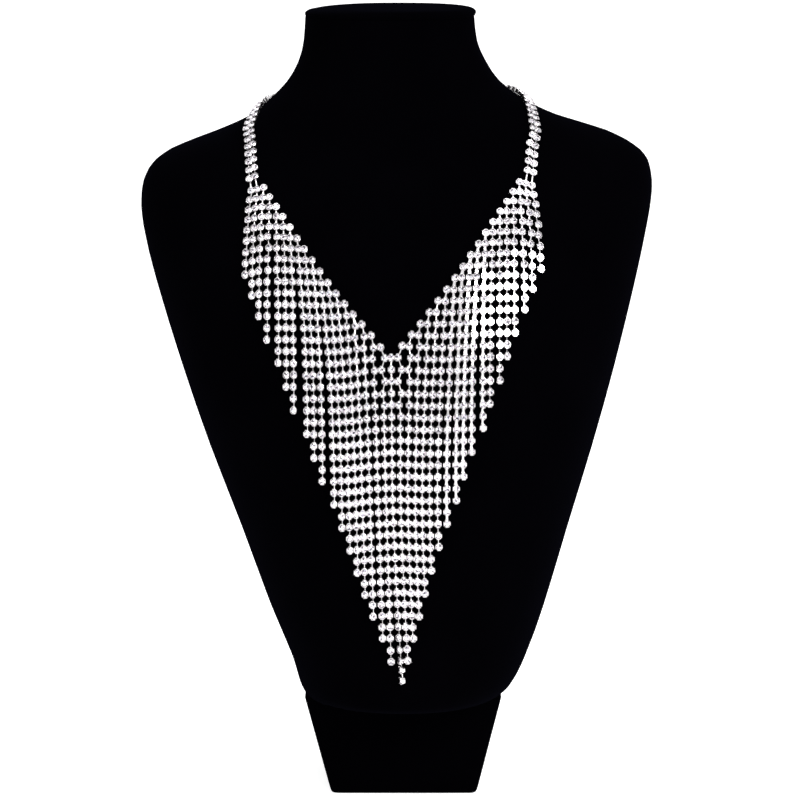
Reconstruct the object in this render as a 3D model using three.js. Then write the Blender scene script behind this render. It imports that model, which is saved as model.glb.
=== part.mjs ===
// Tassel necklace of rhinestone cup chain, hung on a velvet-covered neck bust.
// Millimetres, +Z up, the front faces -Y, and the origin is under the middle of the whole.

import * as THREE from 'three';
import { mergeVertices } from 'three/addons/utils/BufferGeometryUtils.js';

// Cross-sections of the moulded form, from the underside of the chest to the top of the neck.
// left and right are its edges, side is where it is widest, front and back are its depth.
const torsoSections = [
  { height: 38, left: -36.5, right: 41.5, side: -19, front: -80, back: 27 },
  { height: 42, left: -38.4, right: 46, side: -19, front: -90, back: 30 },
  { height: 52, left: -41.2, right: 51.2, side: -19, front: -94, back: 31 },
  { height: 72, left: -49.6, right: 58.4, side: -19, front: -97, back: 31.5 },
  { height: 104, left: -61.2, right: 67.8, side: -19, front: -99, back: 32.5 },
  { height: 136, left: -73.6, right: 77.5, side: -18.5, front: -99, back: 34 },
  { height: 168, left: -84.6, right: 86.4, side: -16.5, front: -96.5, back: 36 },
  { height: 200, left: -94.5, right: 94.2, side: -14, front: -88, back: 38.5 },
  { height: 222, left: -99.7, right: 98.8, side: -13, front: -76.5, back: 40 },
  { height: 234, left: -100.2, right: 100.6, side: -11.5, front: -66, back: 40.5 },
  { height: 243, left: -97.4, right: 100, side: -9.5, front: -56.5, back: 40.5 },
  { height: 250, left: -89.6, right: 96.4, side: -8, front: -49, back: 40.5 },
  { height: 257, left: -71.2, right: 83.8, side: -5.5, front: -43, back: 39.5 },
  { height: 263, left: -57.5, right: 63.5, side: -4, front: -39, back: 37.5 },
  { height: 269, left: -50.3, right: 51, side: -2, front: -35, back: 34.5 },
  { height: 276, left: -43.2, right: 41.1, side: 0, front: -31, back: 31.2 },
  { height: 284, left: -38.6, right: 35.5, side: 0, front: -29.2, back: 29.2 },
  { height: 292, left: -36.5, right: 31.9, side: 0, front: -28.4, back: 28.4 },
  { height: 302.6, left: -35.8, right: 30.7, side: 0, front: -28, back: 28 },
];
const capSections = [
  { height: 302.9, left: -35.9, right: 31, side: 0, front: -28.1, back: 28.1 },
  { height: 303.5, left: -35.9, right: 31.5, side: 0, front: -28.6, back: 28.6 },
  { height: 304.3, left: -34.6, right: 31.2, side: 0, front: -28.3, back: 28.3 },
  { height: 305, left: -31, right: 30.2, side: 0, front: -27.2, back: 27.2 },
  { height: 305.5, left: -26.5, right: 28.4, side: 0, front: -25.4, back: 25.4 },
];
const footSections = [
  { height: 0, left: -25, right: 31, side: -5, front: -45.5, back: 31.9 },
  { height: 0.4, left: -25.6, right: 31.6, side: -5, front: -46.1, back: 32.5 },
  { height: 1.2, left: -26, right: 32, side: -5, front: -46.5, back: 33 },
  { height: 37.7, left: -36, right: 41.4, side: -5, front: -50, back: 26 },
];
const torsoSquareness = 2.2;
const footSquareness = 24;
const torsoSides = 48;
const footSides = 32;
const ringsPerSection = 2;

// Cup chain: cupReach is half a cup's length, chainLift the height of a cup's middle off the bust.
const cupPitch = 4.5;
const cupReach = 1.2;
const chainRadius = 1;
const chainLift = 1.45;
const chainSides = 8;
const cupsPerStep = 2;
const endGap = 0.4;

// Bib: chains count inwards, 1 under the strap and 19 at the centre. Their soldered tops step down
// the edge of the V, closer together towards the shoulder.
const strapChains = 2;
const sideChains = 18;
const centreChain = 19;
const bibCentre = -1.8;
const edgeSpread = 3.7;
const edgeNarrowing = 0.04;
const firstRowHeight = { left: 238.9, right: 240.9 };
const firstRowSlant = 0.6;

// How far below its outer neighbour's second cup each chain's top is soldered.
const solderDrops = [
  { chain: 3, left: 0, right: 0.1 },
  { chain: 5, left: 0.1, right: 0.1 },
  { chain: 10, left: 0.1, right: 0.2 },
  { chain: 13, left: -0.2, right: 0 },
  { chain: 14, left: -0.4, right: 0 },
  { chain: 15, left: -0.45, right: -0.05 },
  { chain: 16, left: -0.6, right: -0.15 },
  { chain: 17, left: -0.35, right: -0.3 },
  { chain: 18, left: 0.15, right: -0.2 },
  { chain: 19, left: -0.65, right: -0.4 },
];

// Where each chain's free end lies before the point of the bib swings over to one side.
const hems = [
  { chain: 1, left: -57.2, right: 54.9 },
  { chain: 2, left: -54.6, right: 51.6 },
  { chain: 3, left: -51.9, right: 48.5 },
  { chain: 4, left: -48.7, right: 44.8 },
  { chain: 5, left: -44.3, right: 41.8 },
  { chain: 6, left: -41.3, right: 39 },
  { chain: 7, left: -38.5, right: 35.3 },
  { chain: 8, left: -33.4, right: 32.6 },
  { chain: 9, left: -30.7, right: 28.4 },
  { chain: 10, left: -27.6, right: 25.2 },
  { chain: 11, left: -23.2, right: 22.4 },
  { chain: 12, left: -20.3, right: 18.8 },
  { chain: 13, left: -17.5, right: 15.3 },
  { chain: 14, left: -14.8, right: 12.2 },
  { chain: 15, left: -12.2, right: 9.4 },
  { chain: 16, left: -9.4, right: 6.8 },
  { chain: 17, left: -6.1, right: 4.1 },
  { chain: 18, left: -3.2, right: 1.5 },
  { chain: 19, left: -1.1, right: -1.1 },
];
const chainEndRow = { first: 9, step: 2 };
const swingStartRow = 28;
const swingPower = 1.3;
const swing = { left: 1.7, right: 3.4 };

// Strap: where it lies up the chest, seen from the front, then its height at each angle round the
// torso, with 90 at the front, 0 on the shoulder and -90 at the middle of the back.
const strapUpChest = [
  { height: 246, left: -55.4, right: 51.9 },
  { height: 251, left: -56.2, right: 52.4 },
  { height: 256, left: -56.7, right: 52.8 },
];
const strapRoundNeck = [
  { angle: 30, left: 259.2, right: 264.5 },
  { angle: 15, left: 263.4, right: 267.8 },
  { angle: 0, left: 266.4, right: 269.7 },
  { angle: -10, left: 266.9, right: 270.6 },
  { angle: -25, left: 267.3, right: 270.9 },
  { angle: -45, left: 267.9, right: 270.6 },
  { angle: -65, left: 268.7, right: 270.1 },
  { angle: -90, left: 269.5, right: 269.5 },
];
const strapHalfWidth = 2.3;
const strapHalfThickness = 0.8;
const strapLift = 1.25;
const strapSteps = 32;
const bandSides = 8;
const routeSamples = 120;

// Working tolerances, and how finely the loop's length is measured.
const rounding = 1e-6;
const normalProbe = 0.05;
const heightTolerance = 0.001;
const loopDivisions = 2000;

// Clasp: a plain closed bar between the two strap ends.
const claspLength = 12;
const claspHalfWidth = 2.9;
const claspHalfThickness = 0.95;
const claspSteps = 4;

const velvet = { color: 0x0a0a0d, roughness: 1, metalness: 0 };
const silver = { color: 0xd9dadf, roughness: 0.25, metalness: 0.9 };

const model = new THREE.Group();

function addPiece(name, geometry, finish) {
  geometry.deleteAttribute('normal');
  geometry.deleteAttribute('uv');
  const solid = mergeVertices(geometry);
  solid.computeVertexNormals();
  const piece = new THREE.Mesh(solid, new THREE.MeshStandardMaterial(finish));
  piece.name = name;
  model.add(piece);
}

// A smooth value between the rows of a table, which is sorted by its key.
function between(rows, key, column, at) {
  const last = rows.length - 1;
  const place = THREE.MathUtils.clamp(at, rows[0][key], rows[last][key]);
  let i = 0;
  while (i < last - 1 && rows[i + 1][key] < place) i += 1;
  const slope = (j) => {
    const before = rows[Math.max(j - 1, 0)];
    const after = rows[Math.min(j + 1, last)];
    return (after[column] - before[column]) / (after[key] - before[key]);
  };
  const span = rows[i + 1][key] - rows[i][key];
  const t = (place - rows[i][key]) / span;
  const startWeight = (1 + 2 * t) * (1 - t) ** 2;
  const startPull = t * (1 - t) ** 2 * span * slope(i);
  const endPull = t * t * (t - 1) * span * slope(i + 1);
  return startWeight * rows[i][column] + (1 - startWeight) * rows[i + 1][column] + startPull + endPull;
}

function sectionAt(rows, height) {
  const value = (column) => between(rows, 'height', column, height);
  const left = value('left');
  const right = value('right');
  const side = value('side');
  return {
    middle: (left + right) / 2,
    halfWidth: (right - left) / 2,
    side,
    frontDepth: side - value('front'),
    backDepth: value('back') - side,
  };
}

function squared(value, squareness) {
  return Math.abs(value) < rounding ? 0 : Math.sign(value) * Math.abs(value) ** (2 / squareness);
}

// A point of a section's outline, a squared ellipse; 0 degrees is the right side, 90 the front.
function outlinePoint(section, squareness, angle) {
  const across = squared(Math.cos(angle), squareness);
  const ahead = squared(Math.sin(angle), squareness);
  const depth = ahead > 0 ? section.frontDepth : section.backDepth;
  return { x: section.middle + section.halfWidth * across, y: section.side - depth * ahead };
}

// A cylinder of radius 1 that stands on the origin, 1 high.
function unitCylinder(sides, steps) {
  return new THREE.CylinderGeometry(1, 1, 1, sides, steps).rotateX(Math.PI / 2).translate(0, 0, 0.5);
}

// A closed form through horizontal sections, bent from a plain cylinder.
function loft(rows, squareness, sides, ringsBetween) {
  const intervals = rows.length - 1;
  const geometry = unitCylinder(sides, intervals * ringsBetween);
  const position = geometry.attributes.position;
  for (let i = 0; i < position.count; i += 1) {
    const place = position.getZ(i) * intervals;
    const row = Math.min(Math.floor(place + rounding), intervals - 1);
    const height = THREE.MathUtils.lerp(rows[row].height, rows[row + 1].height, place - row);
    const section = sectionAt(rows, height);
    const spread = Math.hypot(position.getX(i), position.getY(i));
    const outline = outlinePoint(section, squareness, Math.atan2(-position.getY(i), position.getX(i)));
    position.setXYZ(
      i,
      THREE.MathUtils.lerp(section.middle, outline.x, spread),
      THREE.MathUtils.lerp(section.side, outline.y, spread),
      height,
    );
  }
  return geometry;
}

// Above 1 outside the torso, 1 on its surface.
function torsoReach(x, y, z) {
  const section = sectionAt(torsoSections, z);
  const depth = y < section.side ? section.frontDepth : section.backDepth;
  const across = Math.abs(x - section.middle) / section.halfWidth;
  const ahead = Math.abs(y - section.side) / depth;
  return across ** torsoSquareness + ahead ** torsoSquareness;
}

function torsoNormal({ x, y, z }) {
  const d = normalProbe;
  return new THREE.Vector3(
    torsoReach(x + d, y, z) - torsoReach(x - d, y, z),
    torsoReach(x, y + d, z) - torsoReach(x, y - d, z),
    torsoReach(x, y, z + d) - torsoReach(x, y, z - d),
  ).normalize();
}

function lifted(point, lift) {
  return point.clone().addScaledVector(torsoNormal(point), lift);
}

// The middle of a cup that lies on the front of the torso.
function cupOnFront(x, height) {
  const section = sectionAt(torsoSections, height);
  const across = Math.min(Math.abs(x - section.middle) / section.halfWidth, 1);
  const ahead = (1 - across ** torsoSquareness) ** (1 / torsoSquareness);
  return lifted(new THREE.Vector3(x, section.side - section.frontDepth * ahead, height), chainLift);
}

// The height at which the next cup lies one pitch below the last.
function nextCup(last, x, height) {
  let low = height - cupPitch;
  let high = height;
  while (high - low > heightTolerance) {
    const middle = (low + high) / 2;
    if (cupOnFront(x, middle).distanceTo(last) > cupPitch) low = middle;
    else high = middle;
  }
  return high;
}

// Below the strap each chain starts one row lower than the one outside it and ends two rows lower.
const firstRow = (chain) => Math.max(chain - strapChains, 1);
const lastRow = (chain) => chainEndRow.first + chainEndRow.step * (chain - 1);

function chainX(chain, side, row) {
  const outwards = side === 'left' ? -1 : 1;
  const steps = centreChain - chain;
  const top = bibCentre + outwards * (edgeSpread * steps - edgeNarrowing * steps ** 2);
  const settled = (row - firstRow(chain)) / (lastRow(chain) - firstRow(chain));
  const hem = hems[chain - 1][side];
  const low = Math.max(row - swingStartRow, 0) / (lastRow(centreChain) - swingStartRow);
  return THREE.MathUtils.lerp(top, hem, settled * (2 - settled)) + swing[side] * low ** swingPower;
}

// A chain's cups from its soldered top to its free end, and the height of its second cup.
function hangChain(chain, side, topHeight) {
  const heights = [topHeight];
  const cups = [cupOnFront(chainX(chain, side, firstRow(chain)), topHeight)];
  for (let row = firstRow(chain) + 1; row <= lastRow(chain); row += 1) {
    const x = chainX(chain, side, row);
    heights.push(nextCup(cups[cups.length - 1], x, heights[heights.length - 1]));
    cups.push(cupOnFront(x, heights[heights.length - 1]));
  }
  return { cups, secondHeight: heights[1] };
}

function beyond(end, inner, reach) {
  return end.clone().add(end.clone().sub(inner).setLength(reach));
}

function addChain(name, cups) {
  const points = [
    beyond(cups[0], cups[1], cupReach),
    ...cups,
    beyond(cups[cups.length - 1], cups[cups.length - 2], cupReach),
  ];
  const outline = [];
  for (let i = 0; i < chainSides; i += 1) {
    const angle = (i / chainSides) * 2 * Math.PI;
    outline.push(new THREE.Vector2(chainRadius * Math.cos(angle), chainRadius * Math.sin(angle)));
  }
  const tube = new THREE.ExtrudeGeometry(new THREE.Shape(outline), {
    steps: Math.ceil(cups.length / cupsPerStep),
    extrudePath: new THREE.CatmullRomCurve3(points),
  });
  addPiece(name, tube, silver);
}

// The angle round the torso at which its outline reaches a place on the front.
function frontAngle(x, height) {
  const section = sectionAt(torsoSections, height);
  const across = Math.abs(x - section.middle) / section.halfWidth;
  return THREE.MathUtils.radToDeg(Math.acos(across ** (torsoSquareness / 2)));
}

// The strap's middle line from the bib's first row over the shoulder to the middle of the back.
function strapPoints(side) {
  const joinX = (chainX(1, side, 1) + chainX(2, side, 1)) / 2;
  const joinHeight = firstRowHeight[side];
  const rows = [
    new THREE.Vector3(frontAngle(joinX, joinHeight), joinHeight, 0),
    ...strapUpChest.map((row) => new THREE.Vector3(frontAngle(row[side], row.height), row.height, 0)),
    ...strapRoundNeck.map((row) => new THREE.Vector3(row.angle, row[side], 0)),
  ];
  return new THREE.CatmullRomCurve3(rows).getPoints(routeSamples).map(({ x: angle, y: height }) => {
    const turned = THREE.MathUtils.degToRad(side === 'left' ? 180 - angle : angle);
    const outline = outlinePoint(sectionAt(torsoSections, height), torsoSquareness, turned);
    return lifted(new THREE.Vector3(outline.x, outline.y, height), strapLift);
  });
}

// A band that lies flat on the torso along a stretch of a path, bent from a plain cylinder.
function band(path, start, end, halfWidth, halfThickness, steps) {
  const geometry = unitCylinder(bandSides, steps);
  const length = path.getLength();
  const position = geometry.attributes.position;
  for (let i = 0; i < position.count; i += 1) {
    const along = THREE.MathUtils.lerp(start, end, position.getZ(i)) / length;
    const place = path.getPointAt(along);
    const tangent = path.getTangentAt(along);
    const across = torsoNormal(place).cross(tangent).normalize();
    const out = tangent.cross(across);
    place.addScaledVector(across, -halfWidth * position.getX(i));
    place.addScaledVector(out, -halfThickness * position.getY(i));
    position.setXYZ(i, place.x, place.y, place.z);
  }
  return geometry;
}

addPiece('bust_torso', loft(torsoSections, torsoSquareness, torsoSides, ringsPerSection), velvet);
addPiece('bust_cap', loft(capSections, torsoSquareness, torsoSides, 1), velvet);
addPiece('bust_foot', loft(footSections, footSquareness, footSides, 1), velvet);

for (const side of ['left', 'right']) {
  let topHeight = firstRowHeight[side] - strapChains * firstRowSlant;
  for (let chain = 1; chain <= sideChains; chain += 1) {
    const { cups, secondHeight } = hangChain(chain, side, topHeight);
    addChain(`chain_${side[0]}${String(chain).padStart(2, '0')}`, cups);
    const solderDrop = between(solderDrops, 'chain', side, chain + 1);
    topHeight = chain > strapChains ? secondHeight - solderDrop : topHeight + firstRowSlant;
    if (chain === sideChains && side === 'right') {
      addChain('chain_c', hangChain(centreChain, side, topHeight).cups);
    }
  }
}

const leftRoute = strapPoints('left');
const loop = new THREE.CatmullRomCurve3([...leftRoute, ...strapPoints('right').reverse().slice(1)]);
loop.arcLengthDivisions = loopDivisions;
const bibEnd = cupReach + endGap;
const backMiddle = new THREE.CatmullRomCurve3(leftRoute).getLength();
const claspStart = backMiddle - claspLength / 2;
const claspEnd = backMiddle + claspLength / 2;
const straps = {
  strap_left: [bibEnd, claspStart - endGap],
  strap_right: [claspEnd + endGap, loop.getLength() - bibEnd],
};
for (const [name, [start, end]] of Object.entries(straps)) {
  addPiece(name, band(loop, start, end, strapHalfWidth, strapHalfThickness, strapSteps), silver);
}
const clasp = band(loop, claspStart, claspEnd, claspHalfWidth, claspHalfThickness, claspSteps);
addPiece('clasp', clasp, silver);

const box = new THREE.Box3().setFromObject(model);
const middle = box.getCenter(new THREE.Vector3());
model.position.set(-middle.x, -middle.y, -box.min.z);

export default model;
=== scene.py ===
# The looks of a tassel necklace of rhinestone cup chain on its velvet neck bust, in metres.
import math
import random

import bmesh
import bpy
from mathutils import Matrix, Vector


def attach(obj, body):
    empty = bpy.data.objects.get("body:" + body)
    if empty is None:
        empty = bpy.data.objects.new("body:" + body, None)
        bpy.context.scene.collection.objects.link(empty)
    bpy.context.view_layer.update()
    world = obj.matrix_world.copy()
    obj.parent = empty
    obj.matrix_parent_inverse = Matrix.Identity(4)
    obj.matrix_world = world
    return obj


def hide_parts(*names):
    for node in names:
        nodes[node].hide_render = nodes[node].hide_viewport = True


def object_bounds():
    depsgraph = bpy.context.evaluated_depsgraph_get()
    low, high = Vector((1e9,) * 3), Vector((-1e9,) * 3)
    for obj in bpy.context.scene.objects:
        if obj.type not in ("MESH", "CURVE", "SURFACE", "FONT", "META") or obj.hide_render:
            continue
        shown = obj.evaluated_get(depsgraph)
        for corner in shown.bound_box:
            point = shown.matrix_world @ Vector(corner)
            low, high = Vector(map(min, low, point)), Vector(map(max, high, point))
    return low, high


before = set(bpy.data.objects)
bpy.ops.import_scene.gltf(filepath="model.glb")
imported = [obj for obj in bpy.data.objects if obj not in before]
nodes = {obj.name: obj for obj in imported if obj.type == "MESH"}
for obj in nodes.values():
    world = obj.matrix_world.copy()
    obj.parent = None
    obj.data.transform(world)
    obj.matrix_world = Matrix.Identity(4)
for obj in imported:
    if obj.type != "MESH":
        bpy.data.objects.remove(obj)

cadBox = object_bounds()
scene = bpy.context.scene
mm = 0.001
weld = 0.01 * mm  # points nearer than this are one
flat = 0.9  # a face is level when its normal rises or falls by more than this
print("frame loaded:", len(nodes), "nodes")


# Selecting, extruding, joining and naming.
def selectOnly(obj):
    bpy.ops.object.select_all(action="DESELECT")
    obj.select_set(True)
    bpy.context.view_layer.objects.active = obj


def editMode(obj, mode="FACE"):
    selectOnly(obj)
    bpy.ops.object.mode_set(mode="EDIT")
    bpy.ops.mesh.select_mode(type=mode)
    bpy.ops.mesh.select_all(action="DESELECT")


def objectMode():
    bpy.ops.object.mode_set(mode="OBJECT")
    return bpy.context.object


def pick(kind, test):  # selects the faces or edges in edit mode that pass a test
    mesh = bpy.context.object.data
    net = bmesh.from_edit_mesh(mesh)
    bpy.ops.mesh.select_all(action="DESELECT")
    for part in getattr(net, kind):
        if test(part):
            part.select_set(True)
    net.select_flush_mode()
    bmesh.update_edit_mesh(mesh)


def push(y=0, z=0):  # extrudes what is selected
    bpy.ops.mesh.extrude_region_move(TRANSFORM_OT_translate={"value": (0, y, z)})


def finishModifier(obj, kind, **settings):
    selectOnly(obj)
    modifier = obj.modifiers.new(kind.title(), kind)
    for key, value in settings.items():
        setattr(modifier, key, value)
    bpy.ops.object.modifier_apply(modifier=modifier.name)


def weldedCopy(node, name):  # a CAD node's shape as a piece of its own, in quads
    copy = bpy.data.objects.new(name, nodes[node].data.copy())
    scene.collection.objects.link(copy)
    editMode(copy)
    bpy.ops.mesh.select_all(action="SELECT")
    bpy.ops.mesh.remove_doubles(threshold=weld)
    bpy.ops.mesh.tris_convert_to_quads()
    objectMode()
    return copy


def settle(obj):  # extruding leaves new faces in a chance order, which this makes the same each run
    net = bmesh.new()
    net.from_mesh(obj.data)
    net.verts.index_update()
    ordered = sorted(net.faces, key=lambda face: sorted(point.index for point in face.verts))
    for place, face in enumerate(ordered):
        face.index = place
    net.faces.sort()
    net.to_mesh(obj.data)
    net.free()


def joinUp(parts, name):
    selectOnly(parts[0])
    for part in parts:
        part.select_set(True)
    bpy.ops.object.join()
    whole = bpy.context.object
    whole.name = whole.data.name = name
    return whole


def dress(piece, material, replaced=()):
    piece.data.materials.clear()
    piece.data.materials.append(material)
    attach(piece, "root")
    if replaced:
        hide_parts(*replaced)


# Arithmetic on a Wire adds Math nodes to its shader tree.
class Wire:
    def __init__(self, tree, socket=None):
        self.tree = tree
        self.socket = socket

    def add(self, kind, inputs, output=0, stops=(), **settings):
        made = self.tree.nodes.new(kind)
        for key, value in settings.items():
            setattr(made, key, value)
        for place, colour in stops:
            made.color_ramp.elements.new(place).color = colour
        for key, value in inputs.items():
            if isinstance(value, Wire):
                self.tree.links.new(value.socket, made.inputs[key])
            else:
                made.inputs[key].default_value = value
        return Wire(self.tree, made.outputs[output])

    def maths(self, operation, first, second):
        return self.add("ShaderNodeMath", {0: first, 1: second}, operation=operation)

    def __add__(self, other):
        return self.maths("ADD", self, other)

    def __sub__(self, other):
        return self.maths("SUBTRACT", self, other)

    def __mul__(self, other):
        return self.maths("MULTIPLY", self, other)

    def __pow__(self, other):
        return self.maths("POWER", self, other)

    __radd__ = __add__
    __rmul__ = __mul__

    def noise(self, grain, detail=2):  # grain is the size of a fleck
        return self.add("ShaderNodeTexNoise", {"Vector": self, "Scale": 1 / grain, "Detail": detail})

    def colours(self, first, second):  # two colours mixed by this value
        return self.add("ShaderNodeMix", {0: self, 6: first, 7: second}, output=2, data_type="RGBA")

    def into(self, shader, name):
        self.tree.links.new(self.socket, shader.inputs[name])


def newMaterial(name, **constants):  # a Principled surface and its object coordinates
    material = bpy.data.materials.new(name)
    material.use_nodes = True
    tree = material.node_tree
    shader = tree.nodes["Principled BSDF"]
    for key, value in constants.items():
        shader.inputs[key].default_value = value
    place = Wire(tree).add("ShaderNodeTexCoord", {}, output=3)
    return material, shader, place


# Velvet, silver plate and foiled crystal.
# The velvet's colour mixes its near-black base with brushed pile patches painted lighter and bluer, a
# painted sheen.
velvetCloth = {
    "shade": (0.0001, 0.0001, 0.0002, 1), "brushedSheen": (0.0006, 0.0005, 0.0009, 1),
    "patch": 38 * mm, "patchShare": 0.65, "tuft": 0.35 * mm, "tuftShare": 0.35,
    "napHeight": 0.12 * mm, "napStrength": 0.6,
    "sheen": 0.003, "sheenTint": (0.55, 0.58, 1, 1), "sheenSpread": 0.4, "gloss": 0,
}


def makeVelvet():
    cloth = velvetCloth
    material, shader, place = newMaterial(
        "black velvet", **{"Roughness": 1, "Specular IOR Level": cloth["gloss"],
                           "Sheen Weight": cloth["sheen"], "Sheen Tint": cloth["sheenTint"],
                           "Sheen Roughness": cloth["sheenSpread"]})
    nap = place.noise(cloth["tuft"], 3)
    stroke = place.noise(cloth["patch"], 3)
    # Painted sheen: the pile noise mixes the base colour towards the lighter, bluer brushed colour.
    pile = cloth["patchShare"] * stroke + cloth["tuftShare"] * nap
    pile.colours(cloth["shade"], cloth["brushedSheen"]).into(shader, "Base Color")
    bump = {"Height": nap, "Distance": cloth["napHeight"], "Strength": cloth["napStrength"]}
    place.add("ShaderNodeBump", bump).into(shader, "Normal")
    return material


# The silver's colour mixes bright plate with darker cloud patches of painted shade, standing for links
# that reflect dark surroundings.
silverPlate = {
    "bright": (0.8, 0.78, 0.79, 1), "paintedShade": (0.26, 0.24, 0.25, 1), "mostlyBright": 1.9,
    "cloud": 3 * mm, "scratch": 0.12 * mm, "smooth": 0.1, "rough": 0.2,
}


def makeSilver():
    plate = silverPlate
    material, shader, place = newMaterial("silver plate", Metallic=1)
    cloud = place.noise(plate["cloud"])
    scratch = place.noise(plate["scratch"], 4)
    # Painted shade: cloud noise darkens patches of the plate colour.
    (cloud ** plate["mostlyBright"]).colours(plate["bright"], plate["paintedShade"]).into(shader, "Base Color")
    (plate["smooth"] + plate["rough"] * scratch).into(shader, "Roughness")
    return material


# The stone colours are painted reflections: each facet's painted glint picks a colour on a ramp from
# dark, a painted shade, to white, a painted highlight.
crystal = {
    "dark": (0.03, 0.03, 0.04, 1), "grey": (0.28, 0.26, 0.3, 1), "rose": (0.76, 0.66, 0.73, 1),
    "ice": (0.64, 0.66, 0.74, 1), "white": (0.92, 0.89, 0.91, 1), "metal": 0.95, "roughness": 0.04,
    "greyTo": 0.3, "roseAt": 0.45, "whiteAt": 0.6, "iceAt": 0.8, "glintJitter": 0.5 * mm, "glintJitterShare": 0.12,
}


def makeCrystal():  # each facet has its own painted glint, from 0, painted as turned away from the light, to 1, painted as in full light
    material, shader, place = newMaterial(
        "foiled crystal", **{"Metallic": crystal["metal"], "Roughness": crystal["roughness"]})
    glint = place.add("ShaderNodeAttribute", {}, output=2, attribute_name="glint")
    glintJitter = place.noise(crystal["glintJitter"])
    stops = [(crystal["greyTo"], crystal["grey"]), (crystal["roseAt"], crystal["rose"]),
             (crystal["whiteAt"], crystal["white"]), (crystal["iceAt"], crystal["ice"])]
    # Painted reflection: the glint, varied a little by noise, sets each facet's colour on the ramp.
    ramp = {"Fac": glint + crystal["glintJitterShare"] * (glintJitter - 0.5)}
    colour = place.add("ShaderNodeValToRGB", ramp, stops=stops)
    ends = colour.socket.node.color_ramp.elements
    ends[0].color, ends[-1].color = crystal["dark"], crystal["white"]
    colour.into(shader, "Base Color")
    return material


velvet = makeVelvet()
silver = makeSilver()
foiledCrystal = makeCrystal()
print("materials ready")


# The frame's own bust forms, softened into cloth over a moulding.
bust = {
    "bust_torso": {"rim": 1 * mm, "rimAngle": 40, "passes": 3, "joined": 0},
    "bust_cap": {"rim": 0.25 * mm, "rimAngle": 40, "passes": 1, "joined": -0.6 * mm},
    "bust_foot": {"rim": 0.7 * mm, "rimAngle": 40, "passes": 1, "joined": 0.8 * mm},
}  # joined: how far the face against the torso is moved into it


def coverBust(node, shape):
    piece = weldedCopy(node, node.replace("bust", "velvet"))
    joined = shape["joined"]
    if joined:
        editMode(piece)
        pick("faces", lambda face: face.normal.z * joined > flat * abs(joined))
        bpy.ops.transform.translate(value=(0, 0, joined))
        objectMode()
    finishModifier(piece, "BEVEL", width=shape["rim"], segments=3, limit_method="ANGLE",
                   angle_limit=math.radians(shape["rimAngle"]))
    finishModifier(piece, "SUBSURF", levels=1, render_levels=1, subdivision_type="SIMPLE")
    finishModifier(piece, "SMOOTH", factor=0.5, iterations=shape["passes"])
    selectOnly(piece)
    bpy.ops.object.shade_smooth()
    dress(piece, velvet, [node])
    return piece


covers = {node: coverBust(node, shape) for node, shape in bust.items()}
torso = covers["bust_torso"]
print("bust covered")


# The cup, its stone and the link, modelled once each: +Y up the chain, +Z off the bust.
cup = {
    "width": 2.68 * mm, "length": 2.94 * mm, "floor": -1 * mm, "rim": 0.45 * mm,
    "topCorner": 0.74 * mm, "footCorner": 0.6 * mm, "cornerFrom": 0.4, "foot": 0.8,
    "wall": 0.18 * mm, "recess": 0.5 * mm, "claw": 0.42 * mm, "clawFrom": 0.3, "clawLean": 0.8,
}


def modelCup():
    bpy.ops.mesh.primitive_cube_add(
        size=1, location=(0, 0, (cup["floor"] + cup["rim"]) / 2),
        scale=(cup["width"], cup["length"], cup["rim"] - cup["floor"]))
    body = bpy.context.object
    bpy.ops.object.transform_apply()
    editMode(body, "EDGE")
    for corner, end in (("topCorner", 1), ("footCorner", -1)):
        pick("edges", lambda edge: abs(edge.verts[0].co.z - edge.verts[1].co.z) > mm
             and edge.verts[0].co.y * end > cup["cornerFrom"] * cup["length"]
             and abs(edge.verts[0].co.x) > cup["cornerFrom"] * cup["width"])
        bpy.ops.mesh.bevel(offset=cup[corner], segments=1)
    bpy.ops.mesh.select_mode(type="FACE")
    pick("faces", lambda face: face.normal.z < -flat)
    bpy.ops.transform.resize(value=(cup["foot"], cup["foot"], 1))
    pick("faces", lambda face: face.normal.z > flat)
    bpy.ops.mesh.inset(thickness=cup["wall"])
    push(z=-cup["recess"])
    reach = cup["clawFrom"] * cup["width"]

    def cornerRim(face):
        middle = face.calc_center_median()
        return face.normal.z > flat and min(abs(middle.x), abs(middle.y)) > reach

    pick("faces", cornerRim)
    push(z=cup["claw"])
    lean = cup["clawLean"]
    bpy.ops.transform.resize(value=(lean, lean, 1))
    return objectMode()


stone = {
    "sides": 8, "radius": 1.18 * mm, "seat": -0.05 * mm, "girdle": 0.5 * mm,
    "crown": [(0.24 * mm, 0.8), (0.2 * mm, 0.66)], "twist": 22.5, "upright": 0.05,
}


def modelStone():  # a round brilliant: girdle, two rings of facets and a table
    bpy.ops.mesh.primitive_circle_add(
        vertices=stone["sides"], radius=stone["radius"], fill_type="NGON",
        location=(0, 0, stone["seat"]))
    gem = bpy.context.object
    bpy.ops.object.transform_apply()
    editMode(gem)
    bpy.ops.mesh.select_all(action="SELECT")
    push(z=stone["girdle"])
    for rise, spread in stone["crown"]:
        push(z=rise)
        bpy.ops.transform.resize(value=(spread, spread, 1))
        bpy.ops.transform.rotate(value=math.radians(stone["twist"]), orient_axis="Z",
                                 center_override=(0, 0, 0))
    bpy.ops.mesh.poke()
    bpy.ops.mesh.select_all(action="SELECT")
    bpy.ops.mesh.normals_make_consistent(inside=False)
    pick("faces", lambda face: len(face.verts) == 4 and abs(face.normal.z) > stone["upright"])
    bpy.ops.mesh.quads_convert_to_tris(quad_method="SHORTEST_DIAGONAL")
    return objectMode()


link = {  # from 0 at the lower cup to 1 at the upper, over the chain's own gap
    "tab": 1 * mm, "thickness": 0.34 * mm, "depth": -0.35 * mm, "sunk": 0.15 * mm,
    "waists": [(0.3, 0.62), (0.5, 0.92), (0.2, 1.08)],
}


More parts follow.
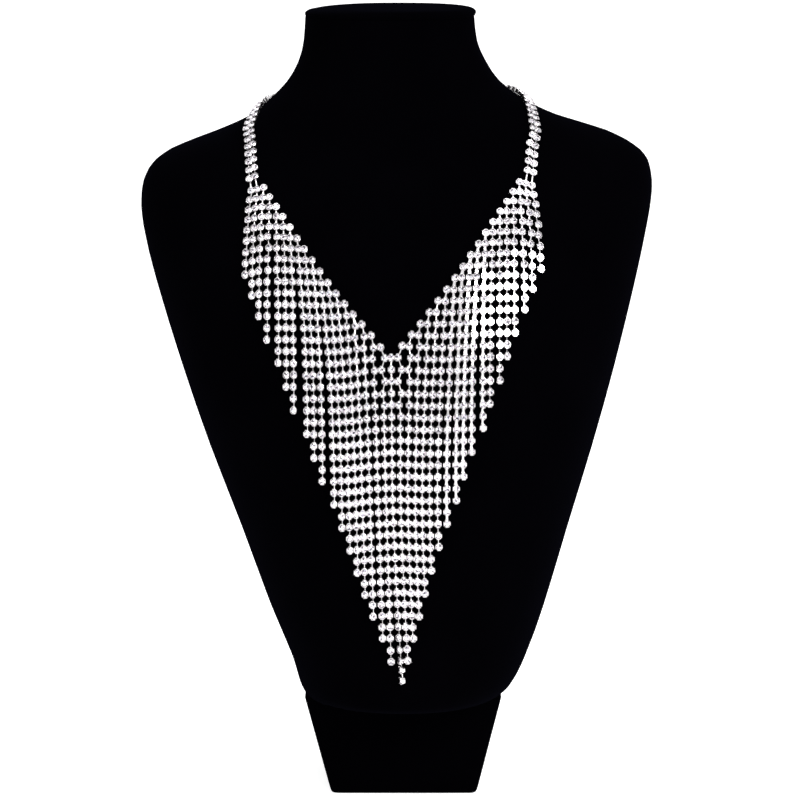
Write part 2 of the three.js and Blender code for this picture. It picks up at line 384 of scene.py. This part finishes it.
def modelLink():
    bpy.ops.mesh.primitive_plane_add(size=1, location=(0, 0, link["depth"]),
                                     rotation=(math.radians(90), 0, 0))
    bar = bpy.context.object
    bar.scale = (link["tab"], link["thickness"], 1)
    bpy.ops.object.transform_apply()
    editMode(bar)
    bpy.ops.mesh.select_all(action="SELECT")
    for rise, spread in link["waists"]:
        push(y=rise)
        bpy.ops.transform.resize(value=(spread, 1, 1))
    bpy.ops.mesh.select_all(action="SELECT")
    bpy.ops.mesh.normals_make_consistent(inside=False)
    return objectMode()


seeds = {"cup": modelCup(), "stone": modelStone(), "link": modelLink()}
for name, seed in seeds.items():
    settle(seed)
    print(name, "has", len(seed.data.polygons), "faces")


# Where each cup sits, read from the frame's chains and straps.
chainRun = {"pitch": 4.5 * mm, "endReach": 1.2 * mm, "lift": 1.35 * mm, "ringReach": 3 * mm}


def centreLine(node, fromTop):  # the middles of a tube's rings, walked from one end to the other
    net = bmesh.new()
    net.from_mesh(nodes[node].data)
    bmesh.ops.remove_doubles(net, verts=net.verts, dist=weld)
    net.verts.index_update()
    heights = [point.co.z for point in net.verts]
    end = max(heights) if fromTop else min(heights)
    ring = [point for point in net.verts if abs(point.co.z - end) < chainRun["ringReach"]]
    seen, middles = set(ring), []
    while ring:
        middle = sum((point.co for point in ring), Vector()) / len(ring)
        if not middles or (middle - middles[-1]).length > mm:
            middles.append(middle)
        ahead = {edge.other_vert(point) for point in ring for edge in point.link_edges} - seen
        seen |= ahead
        ring = sorted(ahead, key=lambda point: point.index)
    net.free()
    return middles


def lengthOf(line):
    return sum((b - a).length for a, b in zip(line, line[1:]))


def pointAt(line, distance):
    for a, b in zip(line, line[1:]):
        step = (b - a).length
        if distance <= step:
            return a.lerp(b, distance / step)
        distance -= step
    return line[-1] + (line[-1] - line[-2]).normalized() * distance


def seated(point, lift=chainRun["lift"]):  # the spot over the velvet nearest a point, and its normal
    found, spot, normal, face = torso.closest_point_on_mesh(point)
    return spot + normal * lift, normal


def chainCups(node):
    line = centreLine(node, fromTop=True)
    ends = chainRun["endReach"]
    gaps = round((lengthOf(line) - 2 * ends) / chainRun["pitch"])
    pitch = (lengthOf(line) - 2 * ends) / gaps
    return [seated(pointAt(line, ends + i * pitch))[0] for i in range(gaps + 1)]


print("reading the chains")
sideCount = 18
centreChain = sideCount + 1
places = {}  # (side, chain): its cups from the top
for side in "lr":
    for chain in range(1, centreChain):
        places[side, chain] = chainCups(f"chain_{side}{chain:02d}")
    places[side, centreChain] = chainCups("chain_c")


# Neighbours are soldered in pairs that alternate from row to row, which closes up the net's edge.
solder = {"spacing": 2.56 * mm, "fullRows": 3, "lastRow": 9}


def topRow(chain):
    return max(chain - 2, 1)


def drawnTogether(side, chain, row):
    below = row - topRow(chain)
    spot = places[side, chain][below]
    partner = chain - 1 if (row - chain) % 2 == 0 else chain + 1
    grip = (solder["lastRow"] - below) / (solder["lastRow"] - solder["fullRows"])
    grip = max(0, min(1, grip))
    others = places.get((side, partner), [])
    index = row - topRow(partner)
    if not 0 <= index < len(others) or chain == centreChain:
        return spot
    apart = others[index] - spot
    share = 1 if partner == centreChain else 0.5
    pull = max(0, apart.length - solder["spacing"]) * share * grip
    return seated(spot + apart.normalized() * pull)[0]


drawn = {}
for (side, chain), cups in places.items():
    drawn[side, chain] = [drawnTogether(side, chain, topRow(chain) + i) for i in range(len(cups))]


# Cups beside each other in a row hang nearly level.
evening = {"passes": 3, "share": 0.5}
columns = ([("l", chain) for chain in range(1, centreChain + 1)]
           + [("r", chain) for chain in range(sideCount, 0, -1)])


def cupAt(column, row):
    index = row - topRow(column[1])
    return drawn[column][index] if 0 <= index < len(drawn[column]) else None


def levelled(left, column, right):
    cups = []
    for row, spot in enumerate(drawn[column], topRow(column[1])):
        beside = cupAt(left, row), cupAt(right, row)
        if None not in beside:
            level = (beside[0].z + beside[1].z) / 2
            spot = seated(spot + Vector((0, 0, (level - spot.z) * evening["share"])))[0]
        cups.append(spot)
    return cups


for step in range(evening["passes"]):
    drawn.update({column: levelled(left, column, right)
                  for left, column, right in zip(columns, columns[1:], columns[2:])})
print("cups in the bib:", sum(len(cups) for key, cups in drawn.items() if key != ("r", centreChain)))


# Cups, stones and links set along a route.
strung = {"spin": 5, "tip": 3, "sway": 0.1 * mm, "stoneSpin": 45, "linkChange": 0.15, "linkRoll": 25,
          "leastLink": 0.35}
thinLinks = {"widths": (0.6, 1), "taper": 0.045}
wideLinks = {"widths": (1.5, 2), "taper": 0.012}
wideLinked = [("r", chain) for chain in range(8, 13)]  # the links here lie flat and show their width
random.seed(37)


def standing(spot, up, normal):  # the matrix that stands a seed at a spot
    side = up.cross(normal).normalized()
    up = normal.cross(side).normalized()
    return Matrix.Translation(spot) @ Matrix((side, up, normal)).transposed().to_4x4()


def turned(degrees, axis):
    return Matrix.Rotation(math.radians(degrees), 4, axis)


def wobble():
    tip = strung["tip"]
    sway = [random.uniform(-strung["sway"], strung["sway"]) for axis in "xy"]
    return (Matrix.Translation((*sway, 0)) @ turned(random.uniform(-strung["spin"], strung["spin"]), "Z")
            @ turned(random.uniform(-tip, tip), "X") @ turned(random.uniform(-tip, tip), "Y"))


def setCopy(seed, matrix):
    copy = seed.copy()
    copy.data = seed.data.copy()
    copy.data.transform(matrix)
    scene.collection.objects.link(copy)
    return copy


# Painted light on the stones: the levels are painted reflections for the facets, and the shadows are
# painted shade for the table wedges.
glints = {"levels": (0.3, 0.45, 0.62, 0.8, 1), "shares": (13, 21, 20, 22, 24),
          "shadows": (0, 0.1, 0.2, 0.3), "shadowSweep": (50, 140), "table": 0.7 * mm, "tableRise": 0.5}


def setStone(matrix):  # each facet gets a painted glint, and a few wedges of the table get a painted shadow
    gem = setCopy(seeds["stone"], matrix)
    start = random.uniform(0, 360)
    sweep = random.uniform(*glints["shadowSweep"])
    levels = []
    for facet in seeds["stone"].data.polygons:
        middle = facet.center.xy
        around = (math.degrees(math.atan2(middle.y, middle.x)) - start) % 360
        onTable = middle.length < glints["table"] and facet.normal.z > glints["tableRise"]
        if onTable and around < sweep:
            levels.append(random.choice(glints["shadows"]))
        else:
            levels.append(random.choices(glints["levels"], glints["shares"])[0])
    gem.data.attributes.new("glint", "FLOAT", "FACE").data.foreach_set("value", levels)
    return gem


def setLink(lower, upper, normal, width, roll):
    up = upper - lower
    reach = cup["length"] / 2 - link["sunk"]
    start = lower + up.normalized() * reach
    span = up.length - 2 * reach
    shape = Matrix.Diagonal((width, span, 1, 1))
    return setCopy(seeds["link"], standing(start, up, normal) @ turned(roll, "Y") @ shape)


def string(route, links, linkedAbove=None, twist=None):  # copies for one column of cups, top first
    metal, gems = [], []
    width = random.uniform(*links["widths"])
    roll = random.uniform(-strung["linkRoll"], strung["linkRoll"])
    for i, spot in enumerate(route):
        above = route[i - 1] if i else linkedAbove
        up = above - spot if above else spot - route[1]
        if above and i + 1 < len(route):
            up = above - route[i + 1]
        normal = seated(spot)[1]
        turn = twist[i] if twist else 0
        place = standing(spot, up, normal) @ turned(turn, "Y") @ wobble()
        metal.append(setCopy(seeds["cup"], place))
        gems.append(setStone(place @ turned(random.uniform(0, strung["stoneSpin"]), "Z")))
        if above:
            change = random.uniform(-strung["linkChange"], strung["linkChange"])
            taper = max(strung["leastLink"], 1 - links["taper"] * i)
            metal.append(setLink(spot, above, normal, width * taper * (1 + change), roll + turn))
    return metal, gems


# Each strap is two columns of cups side by side, the outer one lower.
strap = {"firstRow": 2.9 * mm, "apart": 2.3 * mm, "startSlant": 20, "slant": 34, "slantRows": 5,
         "claspGap": 1.3 * mm, "joiningWidth": 0.7}


def strapColumns(node, side):  # the outer and inner columns, from the bib to the clasp
    line = centreLine(node, fromTop=False)
    run = lengthOf(line) - strap["firstRow"] - strap["claspGap"]
    rows = int(run / chainRun["pitch"]) + 1
    columns = [], []
    for row in range(rows):
        along = strap["firstRow"] + row * chainRun["pitch"]
        middle, normal = seated(pointAt(line, along))
        ahead = (pointAt(line, along + mm) - pointAt(line, along - mm)).normalized()
        outwards = normal.cross(ahead) * (1 if side == "l" else -1)
        grown = min(row / strap["slantRows"], 1)
        slant = math.radians(strap["startSlant"] + (strap["slant"] - strap["startSlant"]) * grown)
        half = (outwards * math.cos(slant) - ahead * math.sin(slant)) * strap["apart"] / 2
        columns[0].append(seated(middle + half)[0])
        columns[1].append(seated(middle - half)[0])
    return columns


# One piece of metal and one of stones for each chain and strap.
def hang(name, metal, gems, node):
    dress(joinUp(metal, name + "_cups"), silver, [node])
    dress(joinUp(gems, name + "_stones"), foiledCrystal)


tip = {"rows": 8, "turn": -68}  # the centre chain's free end hangs turned on its side
for side in "lr":
    for chain in range(1, centreChain):
        name = f"chain_{side}{chain:02d}"
        links = wideLinks if (side, chain) in wideLinked else thinLinks
        metal, gems = string(drawn[side, chain], links)
        hang(name, metal, gems, name)
    print("hung the chains of side", side)

route = drawn["l", centreChain]
turns = [tip["turn"] * max(0, 1 - (len(route) - 1 - i) / tip["rows"]) for i in range(len(route))]
metal, gems = string(route, thinLinks, twist=turns)
hang("chain_c", metal, gems, "chain_c")

for side, name in (("l", "strap_left"), ("r", "strap_right")):
    metal, gems = [], []
    for chain, column in enumerate(strapColumns(name, side), 1):
        upwards = list(reversed(column))
        insideClasp = 2 * upwards[0] - upwards[1]
        columnMetal, columnGems = string(upwards, thinLinks, linkedAbove=insideClasp)
        foot = upwards[-1]
        joining = setLink(drawn[side, chain][0], foot, seated(foot)[1], strap["joiningWidth"], 0)
        columnMetal.append(joining)
        metal += columnMetal
        gems += columnGems
    hang(name, metal, gems, name)
print("strung the straps")


# The clasp is the frame's own bar with its edges rounded.
claspShape = {"rim": 0.5 * mm, "rimAngle": 50, "levels": 1}


def modelClasp():
    bar = weldedCopy("clasp", "clasp_bar")
    finishModifier(bar, "BEVEL", width=claspShape["rim"], segments=2, limit_method="ANGLE",
                   angle_limit=math.radians(claspShape["rimAngle"]))
    finishModifier(bar, "SUBSURF", levels=claspShape["levels"], render_levels=claspShape["levels"])
    selectOnly(bar)
    bpy.ops.object.shade_smooth()
    dress(bar, silver, ["clasp"])


modelClasp()
for seed in seeds.values():
    bpy.data.objects.remove(seed)


# A pale floor, soft light and a long lens.
studio = {
    "floorSize": 40, "paper": (0.92, 0.92, 0.92, 1), "fleck": (0.9, 0.9, 0.9, 1), "fleckSize": 2 * mm,
    "paperRough": 0.9, "paperGlow": 0.55, "sky": 1.02,
    "lamps": [  # name, place from the bust, width, power
        ("key", (1.2, -1.3, 0.9), 0.8, 34),
        ("fill", (-1.3, -1.2, 0.7), 0.9, 3),
        ("top", (0, -0.4, 1.6), 1.2, 15),
    ],
}
lens = {"aim": Vector((1.34, 0.56, 0.95)) * mm, "distance": 2.2, "elevation": 8, "focal": 252.9}
centre = (cadBox[0] + cadBox[1]) / 2


def layFloor():
    bpy.ops.object.select_all(action="DESELECT")
    bpy.ops.mesh.primitive_plane_add(size=studio["floorSize"], location=(0, 0, 0))
    floor = bpy.context.object
    floor.name = "floor"
    material, shader, place = newMaterial(
        "pale paper", **{"Roughness": studio["paperRough"], "Emission Color": (1, 1, 1, 1),
                         "Emission Strength": studio["paperGlow"]})
    grain = place.noise(studio["fleckSize"])
    grain.colours(studio["paper"], studio["fleck"]).into(shader, "Base Color")
    floor.data.materials.append(material)


def lightUp():
    scene.world = bpy.data.worlds.new("studio")
    scene.world.use_nodes = True
    sky = scene.world.node_tree.nodes["Background"]
    sky.inputs["Color"].default_value = (1, 1, 1, 1)
    sky.inputs["Strength"].default_value = studio["sky"]
    for name, spot, width, power in studio["lamps"]:
        lamp = bpy.data.lights.new(name, "AREA")
        lamp.size, lamp.energy = width, power
        holder = bpy.data.objects.new(name, lamp)
        holder.location = centre + Vector(spot)
        holder.rotation_euler = (-Vector(spot)).to_track_quat("-Z", "Y").to_euler()
        scene.collection.objects.link(holder)
    scene.view_settings.view_transform = "Standard"


def setCamera():
    rise = math.radians(lens["elevation"])
    back = Vector((0, -math.cos(rise), math.sin(rise)))
    camera = bpy.data.objects.new("camera", bpy.data.cameras.new("camera"))
    camera.data.lens = lens["focal"]
    camera.location = centre + lens["aim"] + back * lens["distance"]
    camera.rotation_euler = (-back).to_track_quat("-Z", "Y").to_euler()
    scene.collection.objects.link(camera)
    scene.camera = camera


layFloor()
lightUp()
setCamera()
print("studio ready")
